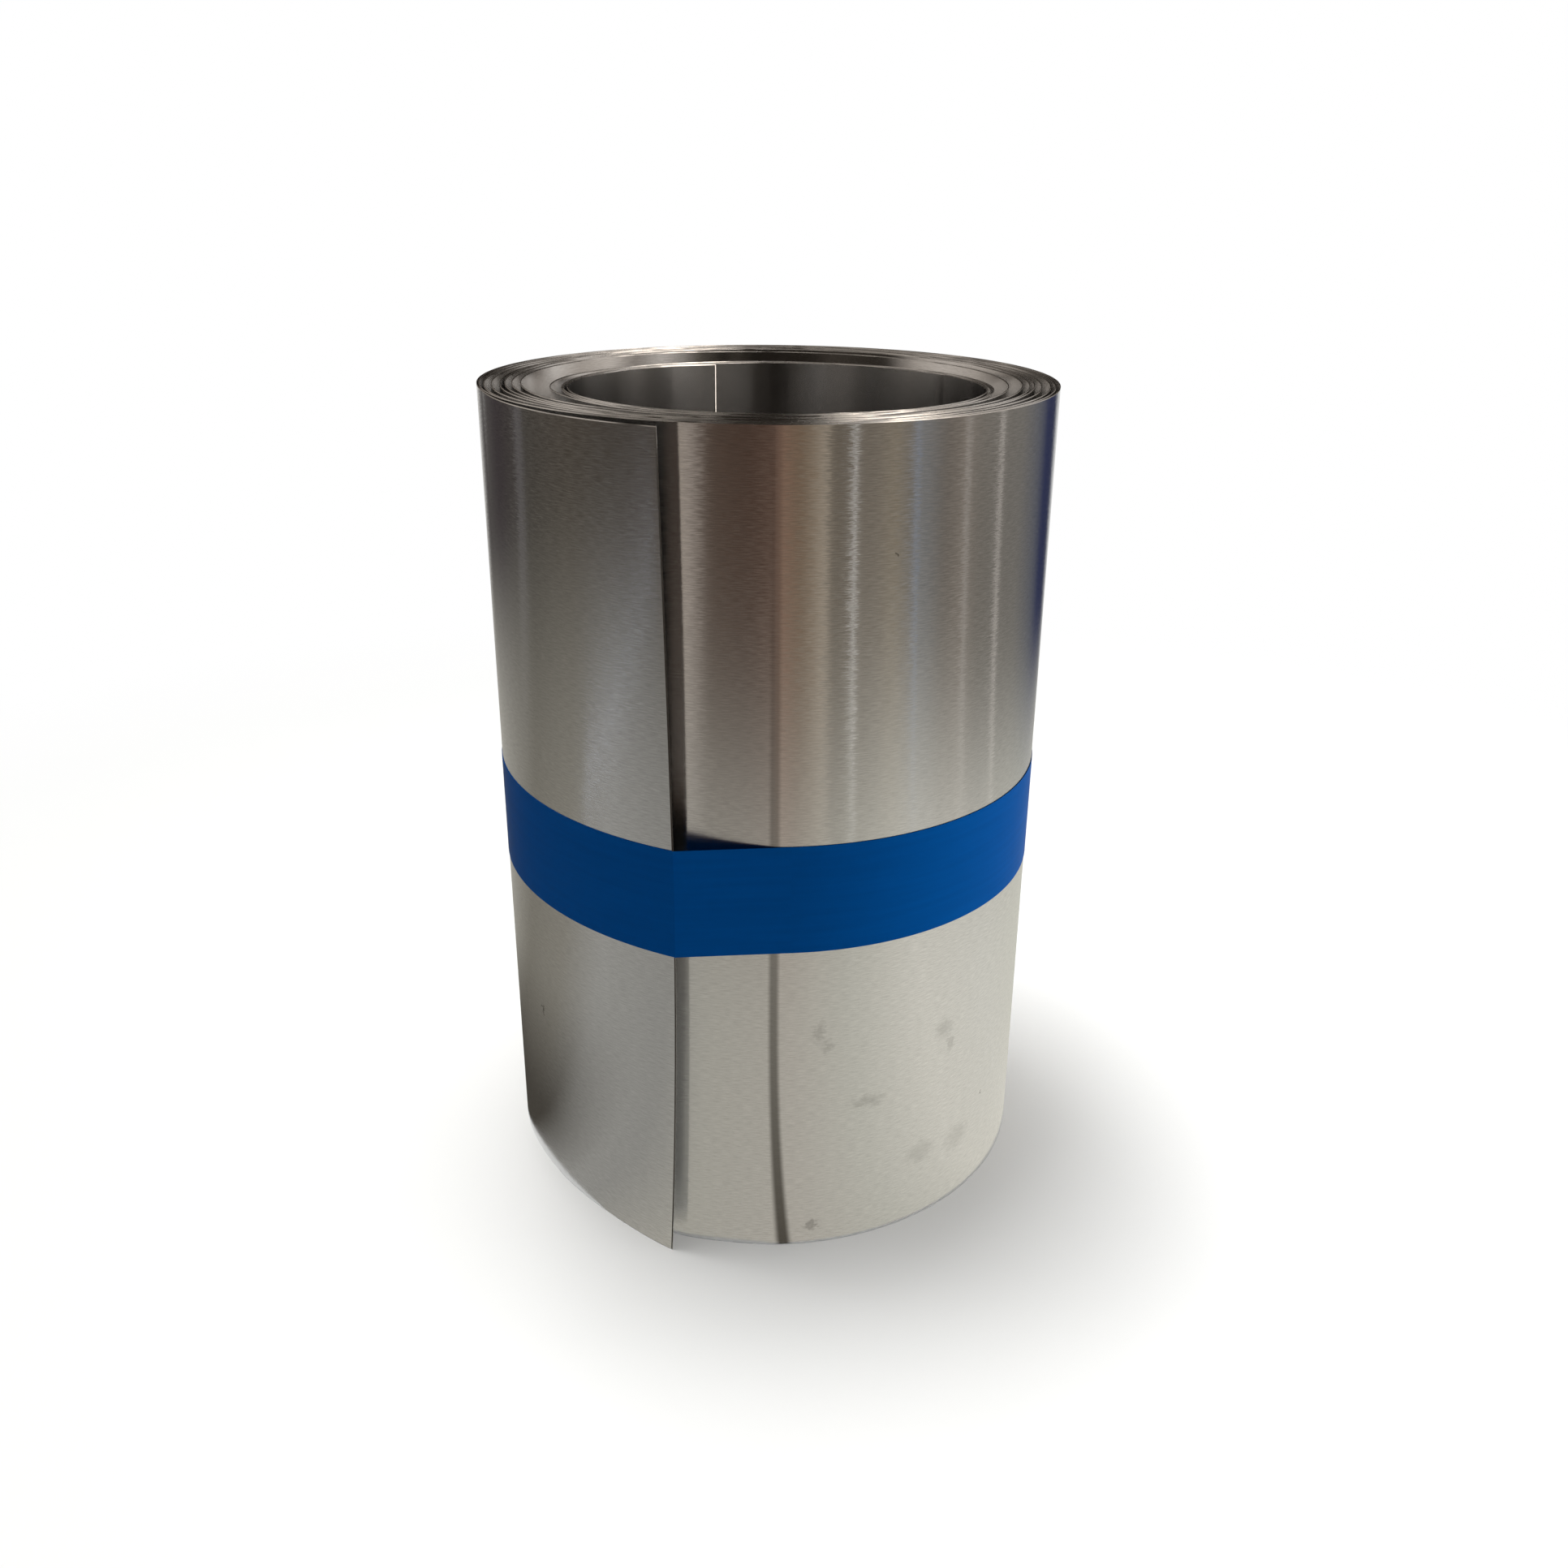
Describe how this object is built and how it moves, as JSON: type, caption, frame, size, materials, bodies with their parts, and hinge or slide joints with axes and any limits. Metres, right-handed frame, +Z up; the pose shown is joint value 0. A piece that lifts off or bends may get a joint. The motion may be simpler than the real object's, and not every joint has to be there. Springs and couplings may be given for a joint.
{
  "type": "valley flashing roll",
  "caption": "Coil of mill-finish aluminium roof valley flashing standing on its end, with an open bore, spiral turns on both ends and a free outer end held by a band of blue tape.",
  "frame": {"origin": "on the axis of the bore, on the plane that it stands on", "axes": "+Z up along the roll's axis; -Y is the front, where the free outer end of the sheet lies to the left"},
  "size_m": [0.2444, 0.2465, 0.3556],
  "materials": {
    "mill_aluminium": "mill finish, rolled, with fine grain along the strip",
    "blue_tape": "glossy opaque adhesive tape"
  },
  "bodies": {
    "root": {"flashing_roll": "mill_aluminium", "binding_tape": "blue_tape"}
  },
  "joints": []
}
